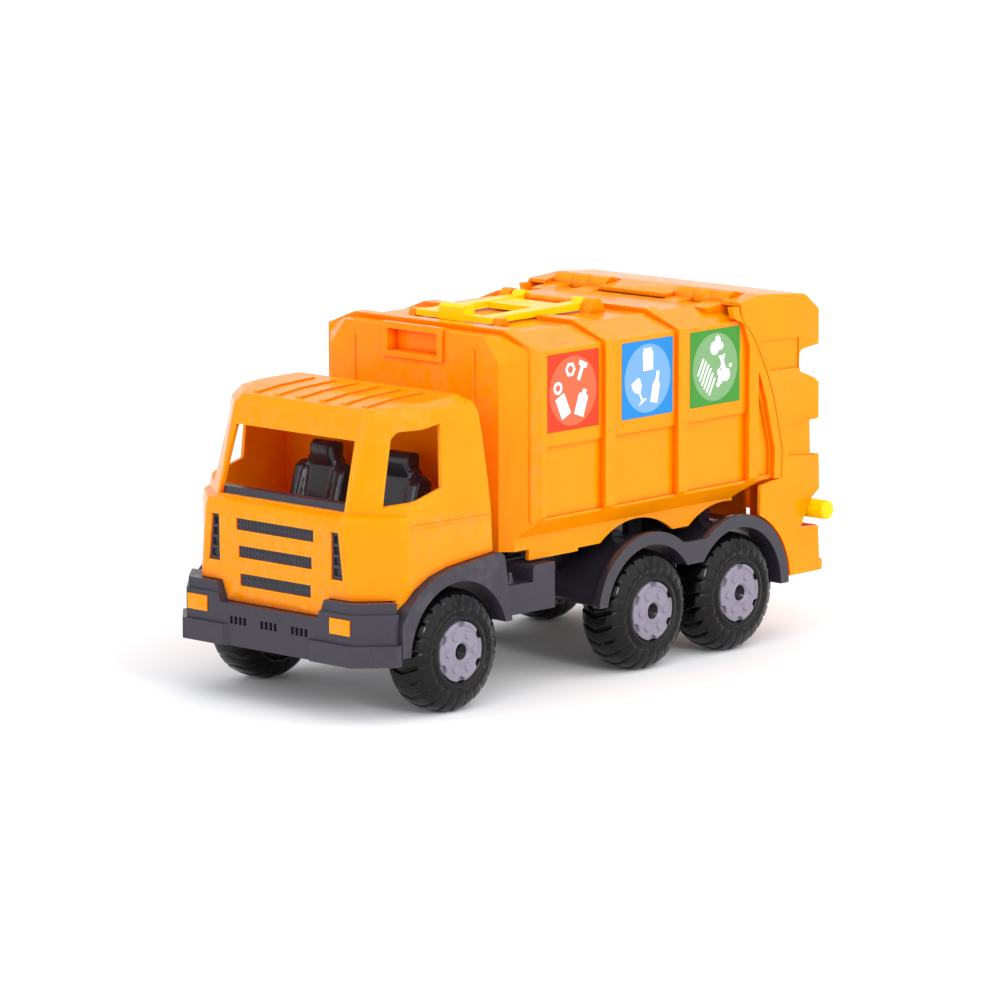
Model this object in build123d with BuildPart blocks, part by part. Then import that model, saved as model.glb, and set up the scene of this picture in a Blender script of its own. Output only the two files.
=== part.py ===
from build123d import *
import math
import os

# Toy refuse truck with three axles. Millimetres, +Z up, the cab faces -Y, the left side is +X.
# The origin is on the ground under the middle of the truck.

os.makedirs("parts", exist_ok=True)

# Driving dimensions
FRONT_Y = -209.0            # foremost face of the bumper
REAR_Y = 209.0              # rearmost edge of the tailgate's foot
WALL = 2.4                  # moulded wall thickness
GAP = 0.4                   # room between separate mouldings

# Wheels
AXLE_Z = 38.0
TYRE_R = 38.0
AXLE_YS = {"front": -134.0, "middle": 42.0, "rear": 126.0}
TYRE_X = (60.0, 92.0)       # inner and outer side walls
HUB_R = 18.4
HUB_FACE_X = 93.0
HUB_BOSS_X = 58.2           # inner end of the hub's boss
STUD_R = 2.9
NOTCH_R = 3.3
AXLE_R = 2.0
AXLE_END_X = 80.0
PIN_CLEARANCE = 0.06        # radial room of every turning pin in its hole

# Chassis
DECK_Z = (74.0, 77.0)
DECK_HALF = 46.0
CHASSIS_Y = (-184.4, 168.0)
RAIL_X = (34.0, 37.0)
RAIL_Z = 60.0
HANGER_X = (40.0, 57.4)
HANGER_HALF = 10.0

# Hopper body
BODY_HALF = 88.0
RIB_PROUD = 3.0
BODY_FRONT_Y = -78.0
BODY_CORNER = 17.0          # leg of the chamfered front corners
BODY_BOTTOM_Z = 107.3       # lower edge of the side panels
SKIRT_HALF = 78.0
SKIRT_Z = (82.0, 97.0)
BODY_EAVE_Z = 212.0
BODY_EAVE_X = 62.0
BODY_TOP_Z = 221.0
RIB_YS = (-60.5, 2.7, 71.4, 140.0)
RIB_WIDTH = 9.0
LEDGE_Z = 152.5             # step under the stickers
PANEL_RECESS = 1.6
FLOOR_Z = (104.6, 107.0)

# Tailgate
HINGE_Y = 140.0
HINGE_Z = 221.5
HINGE_X = 52.0              # middle of each hinge barrel
BARREL_R = 7.0
KNUCKLE = 15.0              # length of one hinge knuckle
HINGE_PIN_R = 2.5
CHEEK_X = (88.4, 91.0)
ARCH_CLEAR_R = 51.3         # tailgate and skirt clear the mudguards by this radius

# Stickers
STICKER = 48.4
STICKER_Z = 185.2
STICKER_YS = {"red": -29.2, "blue": 40.2, "green": 104.9}
STICKER_THICK = 0.3


def export(piece, name):
    """Label a finished piece and write it to its own file."""
    piece.label = name
    export_step(piece, f"parts/{name}.step")


def side_prism(outline, x_low, x_high):
    """Solid whose side outline is given as (y, z) points, from x_low to x_high."""
    with BuildPart() as prism:
        with BuildSketch(Plane.YZ.offset(x_low)):
            with BuildLine():
                Polyline(*outline, close=True)
            make_face()
        extrude(amount=x_high - x_low)
    return prism.part


def front_prism(outline, y_low, y_high):
    """Solid whose front outline is given as (x, z) points, from y_low to y_high."""
    with BuildPart() as prism:
        with BuildSketch(Plane.XZ.offset(-y_high)):
            with BuildLine():
                Polyline(*outline, close=True)
            make_face()
        extrude(amount=y_high - y_low)
    return prism.part


def plan_prism(outline, z_low, z_high):
    """Solid whose plan outline is given as (x, y) points, from z_low to z_high."""
    with BuildPart() as prism:
        with BuildSketch(Plane.XY.offset(z_low)):
            with BuildLine():
                Polyline(*outline, close=True)
            make_face()
        extrude(amount=z_high - z_low)
    return prism.part


def block(x_range, y_range, z_range):
    """Plain box between the given limits."""
    (x_low, x_high), (y_low, y_high), (z_low, z_high) = x_range, y_range, z_range
    outline = [(x_low, y_low), (x_high, y_low), (x_high, y_high), (x_low, y_high)]
    return plan_prism(outline, z_low, z_high)


def rod_x(y, z, radius, x_low, x_high):
    """Round bar along X."""
    with BuildPart() as rod:
        with BuildSketch(Plane.YZ.offset(x_low)):
            with Locations((y, z)):
                Circle(radius)
        extrude(amount=x_high - x_low)
    return rod.part


def mirrored(piece):
    """The same piece on the truck's other side."""
    with BuildPart() as twin:
        add(piece)
        mirror(about=Plane.YZ, mode=Mode.REPLACE)
    return twin.part


def both_sides(outline):
    """Close a half outline, given on the +X side, by its mirror image."""
    return outline + [(-x, v) for x, v in reversed(outline)]


def on_side(side, low, high):
    """The x range from low to high, measured outwards on the chosen side (-1 or 1)."""
    return tuple(sorted((side * low, side * high)))


# ---------------------------------------------------------------- wheels

def make_tyre(axle_y):
    """Tyre on the left side, turned about the axle."""
    inner, outer = TYRE_X
    with BuildPart() as tyre:
        with BuildSketch(Plane.XZ.offset(-axle_y)):
            with BuildLine():
                Polyline(
                    (outer - 6.5, AXLE_Z + HUB_R + 0.1),
                    (outer - 1.5, AXLE_Z + HUB_R + 0.1),
                    (outer, AXLE_Z + 25.0),
                    (outer, AXLE_Z + 31.0),
                )
                Spline(
                    (outer, AXLE_Z + 31.0),
                    (outer - 2.2, AXLE_Z + 35.6),
                    (outer - 7.0, AXLE_Z + TYRE_R),
                    tangents=[(0, 1), (-1, 0)],
                )
                Line((outer - 7.0, AXLE_Z + TYRE_R), (inner + 7.0, AXLE_Z + TYRE_R))
                Spline(
                    (inner + 7.0, AXLE_Z + TYRE_R),
                    (inner + 2.2, AXLE_Z + 35.6),
                    (inner, AXLE_Z + 31.0),
                    tangents=[(-1, 0), (0, -1)],
                )
                Polyline(
                    (inner, AXLE_Z + 31.0),
                    (inner, AXLE_Z + 22.0),
                    (inner + 3.0, AXLE_Z + HUB_R + 0.1),
                    (outer - 6.5, AXLE_Z + HUB_R + 0.1),
                )
            make_face()
        revolve(axis=Axis((0, axle_y, AXLE_Z), (1, 0, 0)))
    return tyre.part


def make_hub(axle_y):
    """Hub on the left side: a shallow dish with a boss, six studs and six rim notches."""
    face = HUB_FACE_X - 1.4
    dish = face - 4.0
    with BuildPart() as hub:
        with BuildSketch(Plane.XZ.offset(-axle_y)):
            with BuildLine():
                Polyline(
                    (HUB_BOSS_X, AXLE_Z + AXLE_R),
                    (AXLE_END_X, AXLE_Z + AXLE_R),
                    (AXLE_END_X, AXLE_Z + 4.6),
                    (face, AXLE_Z + 5.0),
                    (HUB_FACE_X, AXLE_Z + 6.4),
                    (face + 0.6, AXLE_Z + 8.0),
                    (face, AXLE_Z + 15.6),
                    (face + 0.8, AXLE_Z + 16.4),
                    (face, AXLE_Z + HUB_R),
                    (TYRE_X[0] + 6.0, AXLE_Z + HUB_R),
                    (TYRE_X[0] + 6.0, AXLE_Z + HUB_R - 2.4),
                    (dish, AXLE_Z + HUB_R - 2.4),
                    (dish, AXLE_Z + 7.0),
                    (HUB_BOSS_X, AXLE_Z + 7.0),
                    close=True,
                )
            make_face()
        revolve(axis=Axis((0, axle_y, AXLE_Z), (1, 0, 0)))
        with BuildSketch(Plane.YZ.offset(face - 0.2)):
            with Locations((axle_y, AXLE_Z)):
                with PolarLocations(11.2, 6):
                    Circle(STUD_R)
        extrude(amount=1.6, taper=25)
        with BuildSketch(Plane.YZ.offset(dish + 1.6)):
            with Locations((axle_y, AXLE_Z)):
                with PolarLocations(HUB_R, 6, start_angle=30):
                    Circle(NOTCH_R)
        extrude(amount=8.0, mode=Mode.SUBTRACT)
    return hub.part


for position, axle_y in AXLE_YS.items():
    left_tyre = make_tyre(axle_y)
    left_hub = make_hub(axle_y)
    export(left_tyre, f"{position}_tyre_left")
    export(mirrored(left_tyre), f"{position}_tyre_right")
    export(left_hub, f"{position}_hub_left")
    export(mirrored(left_hub), f"{position}_hub_right")
    export(rod_x(axle_y, AXLE_Z, AXLE_R, -AXLE_END_X, AXLE_END_X), f"{position}_axle")


# ---------------------------------------------------------------- chassis

BOLSTER_YS = (-118.0, -30.0, 84.0, 150.0)
SCREW_SPOTS = [(x, y) for y in BOLSTER_YS[:3] for x in (24.0, -24.0)]
SCREW_R = 1.6
CAB_FLOOR_Z = (90.0, 93.0)

with BuildPart() as chassis:
    add(block((-DECK_HALF, DECK_HALF), CHASSIS_Y, DECK_Z))
    for side in (-1, 1):
        rail_y = (CHASSIS_Y[0], CHASSIS_Y[1] - 4.0)
        add(block(on_side(side, *RAIL_X), rail_y, (RAIL_Z, DECK_Z[0])))
    for bolster_y in BOLSTER_YS:
        top = CAB_FLOOR_Z[0] if bolster_y < -100 else FLOOR_Z[0]
        add(block((-40.0, 40.0), (bolster_y - 6.0, bolster_y + 6.0), (DECK_Z[1], top)))
    for cross_y in (-95.0, 5.0, 100.0):
        add(block((-RAIL_X[0], RAIL_X[0]), (cross_y - 1.5, cross_y + 1.5), (RAIL_Z + 2.0, DECK_Z[0])))
    for x, y in SCREW_SPOTS:
        with BuildSketch(Plane.XY.offset(DECK_Z[0] - 1)):
            with Locations((x, y)):
                Circle(SCREW_R + 0.2)
        extrude(amount=60.0, mode=Mode.SUBTRACT)
export(chassis.part, "chassis_frame")

for position, axle_y in AXLE_YS.items():
    leg = [
        (axle_y - HANGER_HALF, DECK_Z[0]),
        (axle_y - 6.0, AXLE_Z - 5.0),
        (axle_y - 3.0, AXLE_Z - 8.0),
        (axle_y + 3.0, AXLE_Z - 8.0),
        (axle_y + 6.0, AXLE_Z - 5.0),
        (axle_y + HANGER_HALF, DECK_Z[0]),
    ]
    with BuildPart() as hanger:
        for side in (-1, 1):
            add(side_prism(leg, *on_side(side, *HANGER_X)))
        add(rod_x(axle_y, AXLE_Z, AXLE_R + PIN_CLEARANCE, -60.0, 60.0), mode=Mode.SUBTRACT)
    export(hanger.part, f"{position}_axle_hangers")

with BuildPart() as screws:
    for x, y in SCREW_SPOTS:
        tip = CAB_FLOOR_Z[1] if y < -100 else FLOOR_Z[1]
        with BuildSketch(Plane.XY.offset(DECK_Z[0] - 2.0)):
            with Locations((x, y)):
                Circle(3.4)
        extrude(amount=2.0)
        with BuildSketch(Plane.XY.offset(DECK_Z[0])):
            with Locations((x, y)):
                Circle(SCREW_R)
        extrude(amount=tip - DECK_Z[0])
export(screws.part, "body_screws")

# ---------------------------------------------------------------- bumper and indicators

BUMPER_BACK_Y = -184.4
BUMPER_FLAT_X = 71.5
BUMPER_HALF = 90.6
BAND_Z = (36.0, 49.0)       # proud lower band
SHELF_Z = 62.0              # top between the corner blocks
BLOCK_Z = (67.5, 74.0)      # step and top of the corner blocks
BLOCK_X = (41.0, 46.0)      # foot and top of the blocks' sloping inner ends
PANEL_SET_BACK = 2.6
INLET_PITCH = 3.8
INLET_WIDTH = 2.4
INDICATOR_X = (52.0, 69.0)
INDICATOR_Z = (54.5, 64.5)
INDICATOR_BACK_Y = FRONT_Y + 6.0


def bumper_plan(inset):
    """Plan of the bumper, with its front corners cut at 45 degrees."""
    leg = BUMPER_HALF - BUMPER_FLAT_X
    front = FRONT_Y + inset
    half = BUMPER_HALF - inset
    flat = BUMPER_FLAT_X - inset * 0.4
    return both_sides([(flat, front), (half, front + leg), (half, BUMPER_BACK_Y)])


with BuildPart() as bumper:
    add(plan_prism(bumper_plan(0.0), *BAND_Z))
    band_middle = [(38.0, FRONT_Y - 1), (34.0, FRONT_Y + PANEL_SET_BACK)]
    add(plan_prism(both_sides(band_middle), BAND_Z[0] - 1, BAND_Z[1] + 1), mode=Mode.SUBTRACT)
    add(plan_prism(bumper_plan(PANEL_SET_BACK), BAND_Z[0], BLOCK_Z[0]))
    add(plan_prism(bumper_plan(PANEL_SET_BACK + 1.4), BLOCK_Z[0], BLOCK_Z[1]))
    shelf_room = both_sides([(BLOCK_X[0], SHELF_Z), (BLOCK_X[1], BLOCK_Z[1] + 1)])
    add(front_prism(shelf_room, FRONT_Y - 1, BUMPER_BACK_Y + 1), mode=Mode.SUBTRACT)
    hollow = both_sides([(60.0, FRONT_Y + 6.5), (81.0, BUMPER_BACK_Y - 4.0), (81.0, BUMPER_BACK_Y + 1)])
    add(plan_prism(hollow, BAND_Z[0] - 1, SHELF_Z - WALL), mode=Mode.SUBTRACT)
    add(block((-80.9, 80.9), (BUMPER_BACK_Y - WALL, BUMPER_BACK_Y), (BAND_Z[0] + 8, SHELF_Z)))
    for inlet_x in (-26.0, 0.0, 26.0):
        for slot in (-1.5, -0.5, 0.5, 1.5):
            middle = inlet_x + INLET_PITCH * slot
            slot_x = (middle - INLET_WIDTH / 2, middle + INLET_WIDTH / 2)
            add(block(slot_x, (FRONT_Y - 1, FRONT_Y + 8), (49.6, 54.4)), mode=Mode.SUBTRACT)
    for side in (-1, 1):
        lamp_x = on_side(side, *INDICATOR_X)
        add(block(lamp_x, (FRONT_Y - 1, INDICATOR_BACK_Y), INDICATOR_Z), mode=Mode.SUBTRACT)
        add(block(lamp_x, (INDICATOR_BACK_Y, INDICATOR_BACK_Y + WALL), INDICATOR_Z))
export(bumper.part, "front_bumper")

LAMP_ROOM = 0.2
with BuildPart() as indicator:
    lamp_x = (INDICATOR_X[0] + LAMP_ROOM, INDICATOR_X[1] - LAMP_ROOM)
    lamp_z = (INDICATOR_Z[0] + LAMP_ROOM, INDICATOR_Z[1] - LAMP_ROOM)
    add(plan_prism(bumper_plan(PANEL_SET_BACK - 0.8), *lamp_z))
    add(block(lamp_x, (FRONT_Y, INDICATOR_BACK_Y), lamp_z), mode=Mode.INTERSECT)
export(indicator.part, "indicator_left")
export(mirrored(indicator.part), "indicator_right")

# ---------------------------------------------------------------- front fenders with step boxes

FENDER_R = 43.0
FENDER_X = (58.0, 91.0)
FRONT_AXLE_Y = AXLE_YS["front"]
STEP_Y = (-84.0, -42.0)
STEP_Z = (52.0, 80.0)
STEP_X = (62.0, 85.0)


def fender_outline(grow):
    """Side outline over the front wheel, grown outwards, without the wheel's arch."""
    return [
        (-184.0 - grow, 30.0),
        (-184.0 - grow, 61.0 + grow),
        (-177.0 - grow, 71.0 + grow),
        (-168.0 - grow, 79.0 + grow),
        (-156.0, 85.6 + grow),
        (-140.0, 89.6 + grow),
        (-98.0 + grow, 94.0 + grow),
        (-94.0 + grow, 91.5 + grow),
        (-83.6 + grow, 30.0),
    ]


with BuildPart() as fender:
    add(side_prism(fender_outline(0.0), *FENDER_X))
    tunnel = rod_x(FRONT_AXLE_Y, AXLE_Z, FENDER_R + WALL, FENDER_X[0] - 2, FENDER_X[1] + 1)
    room = side_prism(fender_outline(-WALL), FENDER_X[0] - 1, FENDER_X[1] - WALL)
    add(room - tunnel, mode=Mode.SUBTRACT)
    add(rod_x(FRONT_AXLE_Y, AXLE_Z, FENDER_R, FENDER_X[0] - 1, FENDER_X[1] + 1), mode=Mode.SUBTRACT)
    add(block((50.0, 100.0), (-200.0, FRONT_AXLE_Y), (20.0, 40.6)), mode=Mode.SUBTRACT)
    add(block((50.0, 100.0), (FRONT_AXLE_Y, -60.0), (20.0, 50.5)), mode=Mode.SUBTRACT)
    add(block((DECK_HALF, FENDER_X[0] + 4.0), (-100.0, -92.0), DECK_Z))
    step = [
        (STEP_Y[0] - 5.0, STEP_Z[0]),
        (STEP_Y[1], STEP_Z[0] - 0.5),
        (STEP_Y[1], STEP_Z[1]),
        (STEP_Y[1] - 18.0, STEP_Z[1]),
        (STEP_Y[1] - 20.0, STEP_Z[1] - 2.0),
        (STEP_Y[1] - 20.0, STEP_Z[1] - 10.0),
        (STEP_Y[0] - 8.6, STEP_Z[1] - 9.0),
    ]
    step_box = side_prism(step, *STEP_X)
    step_room = side_prism(
        [
            (STEP_Y[0] + 1.0, STEP_Z[0] - 2.0),
            (STEP_Y[1] - WALL, STEP_Z[0] - 2.0),
            (STEP_Y[1] - WALL, STEP_Z[1] - 12.4),
            (STEP_Y[0] + 1.0, STEP_Z[1] - 12.4),
        ],
        STEP_X[0] - 1,
        STEP_X[1] - WALL,
    )
    add(step_box - step_room)
    with BuildSketch(Plane.XY.offset(STEP_Z[1] - 11.0)):
        with Locations((STEP_X[1] - 7.0, STEP_Y[0] + 8.0)):
            Circle(3.2)
    extrude(amount=8.0, taper=12)
export(fender.part, "front_fender_left")
export(mirrored(fender.part), "front_fender_right")

# ---------------------------------------------------------------- cab

CAB_BOTTOM_Z = 62.4
CAB_CORNER_LEG = 24.0       # length along Y of the slanted front corners
CAB_CORNER_R = 9.0
GRILLE_SLOTS = ((106.8, 114.0, 32.8), (90.0, 97.2, 31.0), (72.5, 80.0, 30.0))
VENT = ((47.2, 86.0), (57.0, 86.0), (53.4, 114.8), (47.4, 114.8))
WINDSCREEN = ((53.0, 126.4), (50.4, 168.0))
SIDE_WINDOW = ((-180.7, 129.4), (-144.0, 138.6), (-142.0, 177.6), (-167.0, 173.6), (-170.4, 169.6))
ROOF_LINE = ((-173.0, 185.8), (-150.0, 188.4), (-112.0, 190.0), (-90.0, 190.4))

# Height, front and rear y, half width, and half width of the flat front, from the bottom to the roof
CAB_LEVELS = (
    (CAB_BOTTOM_Z, -200.0, -96.6, 85.0, 65.0),
    (92.0, -200.3, -97.4, 85.6, 62.0),
    (118.0, -200.6, -99.6, 86.4, 58.8),
    (123.6, -199.4, -100.1, 86.3, 57.8),
    (125.2, -195.4, -100.2, 86.2, 53.6),
    (140.0, -190.9, -101.5, 85.3, 53.6),
    (168.0, -182.4, -104.6, 83.4, 55.0),
    (180.0, -178.4, -106.2, 82.2, 55.7),
    (186.0, -173.6, -107.0, 78.6, 53.0),
    (191.5, -162.0, -111.0, 64.0, 43.0),
)


def cab_block(inset, bottom_z):
    """Outer form of the cab, made smaller by inset on every face."""
    with BuildPart() as form:
        for z, front, rear, half, flat in CAB_LEVELS:
            lowered = z - inset if z > 120.0 else z
            level = bottom_z if z == CAB_BOTTOM_Z else lowered
            front_y = front + inset
            plan = both_sides(
                [
                    (flat - 0.45 * inset, front_y),
                    (half - inset, front_y + CAB_CORNER_LEG - 0.4 * inset),
                    (half - inset, rear - inset),
                ]
            )
            with BuildSketch(Plane.XY.offset(level)) as section:
                with BuildLine():
                    Polyline(*plan, close=True)
                make_face()
                fillet(section.vertices().sort_by(Axis.Y)[:4], CAB_CORNER_R)
                fillet(section.vertices().sort_by(Axis.Y)[-2:], 3.0)
        loft(ruled=True)
        under_roof = [(y, z - inset) for y, z in ROOF_LINE]
        under_roof = [(-220.0, 20.0), (-220.0, ROOF_LINE[0][1] - inset)] + under_roof + [(-90.0, 20.0)]
        add(side_prism(under_roof, -100.0, 100.0), mode=Mode.INTERSECT)
    return form.part


with BuildPart() as cab:
    add(cab_block(0.0, CAB_BOTTOM_Z))
    ridge = [
        (-171.0, 184.0),
        (-169.0, 187.4),
        (-150.0, 189.5),
        (-122.0, 190.6),
        (-118.0, 189.6),
        (-118.0, 184.0),
    ]
    for ridge_x in (-46.0, -28.0, -10.0, 10.0, 28.0, 46.0):
        add(side_prism(ridge, ridge_x - 2.2, ridge_x + 2.2))
    for side in (-1, 1):
        crease = [(-172.0, 117.2), (-104.0, 115.8), (-104.0, 117.6), (-172.0, 119.0)]
        add(side_prism(crease, *on_side(side, 84.6, 87.1)))
    add(cab_block(WALL, CAB_BOTTOM_Z - 20.0), mode=Mode.SUBTRACT)
    add(front_prism(both_sides(list(WINDSCREEN)), -215.0, -172.0), mode=Mode.SUBTRACT)
    for low, high, half in GRILLE_SLOTS:
        add(block((-half, half), (-215.0, -190.0), (low, high)), mode=Mode.SUBTRACT)
    add(block((-56.0, 56.0), (-193.0, -90.0), (40.0, 84.0)), mode=Mode.SUBTRACT)
    for side in (-1, 1):
        add(side_prism(list(SIDE_WINDOW), *on_side(side, 60.0, 95.0)), mode=Mode.SUBTRACT)
        add(front_prism([(side * x, z) for x, z in VENT], -215.0, -190.0), mode=Mode.SUBTRACT)
        add(side_prism(fender_outline(GAP), *on_side(side, 56.0, 100.0)), mode=Mode.SUBTRACT)
        corner_room = [
            (side * (BLOCK_X[0] - GAP), SHELF_Z - 2.0),
            (side * (BLOCK_X[0] - GAP), SHELF_Z),
            (side * (BLOCK_X[1] - GAP), BLOCK_Z[1] + GAP),
            (side * 100.0, BLOCK_Z[1] + GAP),
            (side * 100.0, SHELF_Z - 2.0),
        ]
        add(front_prism(corner_room, -215.0, -180.0), mode=Mode.SUBTRACT)
export(cab.part, "cab_shell")

with BuildPart() as grille:
    plate_y = (-199.0, -195.3)
    add(block((-38.0, 38.0), plate_y, (68.0, 117.0)))
    add(block((-62.0, 62.0), plate_y, (84.0, 117.0)))
    add(cab_block(WALL + 0.1, CAB_BOTTOM_Z), mode=Mode.INTERSECT)
    for low, high, half in GRILLE_SLOTS:
        add(block((-half + 0.2, half - 0.2), (-199.2, -197.0), (low + 0.2, high - 0.2)))
    for side in (-1, 1):
        filler = [(47.5, 86.3), (56.7, 86.3), (53.1, 114.5), (47.7, 114.5)]
        add(front_prism([(side * x, z) for x, z in filler], -199.2, -197.0))
        for cell in range(4):
            low = 88.2 + 6.6 * cell
            cell_x = on_side(side, 48.9, 54.8 - 0.8 * cell)
            add(block(cell_x, (-201.0, -197.6), (low, low + 4.6)), mode=Mode.SUBTRACT)
export(grille.part, "grille_insert")

with BuildPart() as cab_floor:
    add(block((-81.0, 81.0), (-199.0, -184.0), (100.0, 130.5)))
    add(block((-57.0, 57.0), (-192.0, -104.5), CAB_FLOOR_Z))
    add(block((-57.0, 57.0), (-192.0, -189.0), (CAB_FLOOR_Z[0], 101.0)))
    add(block((-81.0, 81.0), (-199.0, -194.0), (CAB_FLOOR_Z[0], 117.5)), mode=Mode.SUBTRACT)
    add(cab_block(WALL, CAB_BOTTOM_Z), mode=Mode.INTERSECT)
    for x, y in SCREW_SPOTS:
        if y < -100:
            with BuildSketch(Plane.XY.offset(CAB_FLOOR_Z[0] - 1)):
                with Locations((x, y)):
                    Circle(SCREW_R)
            extrude(amount=10.0, mode=Mode.SUBTRACT)
export(cab_floor.part, "cab_floor")

SEAT_X = 32.0
SEAT_Z = CAB_FLOOR_Z[1]
with BuildPart() as seat:
    cushion = [
        (-160.0, SEAT_Z),
        (-122.0, SEAT_Z),
        (-122.0, SEAT_Z + 14.0),
        (-150.0, SEAT_Z + 17.0),
        (-160.0, SEAT_Z + 14.0),
    ]
    add(side_prism(cushion, SEAT_X - 19.0, SEAT_X + 19.0))
    back = [(-136.0, SEAT_Z + 10.0), (-122.0, SEAT_Z + 8.0), (-117.0, 141.0), (-126.0, 143.0)]
    add(side_prism(back, SEAT_X - 13.0, SEAT_X + 13.0))
    for side in (-1, 1):
        inner = SEAT_X + side * 12.5
        outer = SEAT_X + side * 21.5
        bolster = [
            (-141.0, SEAT_Z + 6.0),
            (-121.0, SEAT_Z + 4.0),
            (-117.0, 135.0),
            (-123.0, 140.0),
            (-130.0, 136.0),
        ]
        add(side_prism(bolster, min(inner, outer), max(inner, outer)))
    head = [(-128.0, 139.0), (-117.5, 138.0), (-116.0, 152.0), (-125.0, 153.5), (-128.5, 150.0)]
    add(side_prism(head, SEAT_X - 10.0, SEAT_X + 10.0))
export(seat.part, "seat_left")
export(mirrored(seat.part), "seat_right")

# ---------------------------------------------------------------- hopper body

BODY_WALL = 2.8
SEAM = [
    (124.4, 221.5),
    (126.6, 214.6),
    (140.6, 198.3),
    (152.7, 175.4),
    (158.7, 161.0),
    (167.6, 126.0),
    (167.2, BODY_BOTTOM_Z),
]
SEAM_RIB_FRONT = [
    (160.6, BODY_BOTTOM_Z),
    (161.0, 126.0),
    (151.8, 161.0),
    (145.8, 175.4),
    (134.4, 198.3),
    (129.4, 210.4),
    (120.0, 214.6),
    (118.0, 221.5),
]
SKIRT_ARCH_R = 57.5
LEVER_Y = 48.0
LEVER_Z = 226.0
LEVER_PIN_R = 2.0
LUG_X = (31.0, 39.5)
LEVER_PIN_X = 37.0
HINGE_PIN_X = (HINGE_X - 1.5 * KNUCKLE + 2.5, HINGE_X + 1.5 * KNUCKLE - 2.5)


def body_section(inset, low_z):
    """Cross-section of the hopper body: skirt, taper, side and eave, inset on every face."""
    return both_sides(
        [
            (SKIRT_HALF - inset, low_z),
            (SKIRT_HALF - inset, SKIRT_Z[1] + inset * 0.4),
            (BODY_HALF - inset, BODY_BOTTOM_Z + inset * 0.4),
            (BODY_HALF - inset, BODY_EAVE_Z - inset * 0.7),
            (BODY_EAVE_X - inset * 0.35, BODY_TOP_Z - inset),
        ]
    )


def body_plan(inset, rear_y):
    """Plan of the hopper body, with its front corners cut at 45 degrees."""
    flat = BODY_HALF - BODY_CORNER - inset * 0.4
    front = BODY_FRONT_Y + inset
    corner_y = front + BODY_CORNER - inset * 0.6
    return both_sides([(flat, front), (BODY_HALF - inset, corner_y), (BODY_HALF - inset, rear_y)])


def shifted(outline, dy):
    """The outline moved along Y."""
    return [(y + dy, z) for y, z in outline]


behind_seam = (
    [(SEAM[0][0], 240.0)]
    + SEAM
    + [(144.0, 104.0), (134.0, 98.0), (134.0, 60.0), (240.0, 60.0), (240.0, 240.0)]
)
inner_section = front_prism(body_section(BODY_WALL, 60.0), BODY_FRONT_Y + BODY_WALL, 200.0)
inner_plan = plan_prism(body_plan(BODY_WALL, 200.0), 50.0, 230.0)
front_beam = block((-90.0, 90.0), (BODY_FRONT_Y, BODY_FRONT_Y + 16.0), (200.0, 230.0))
inner_form = (inner_section & inner_plan) - front_beam

with BuildPart() as corner_cut:
    with BuildSketch(Plane(origin=(59.7, BODY_FRONT_Y, 219.3), z_dir=(1.25, -1.65, 1.0))):
        Rectangle(90.0, 90.0)
    extrude(amount=30.0)

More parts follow.
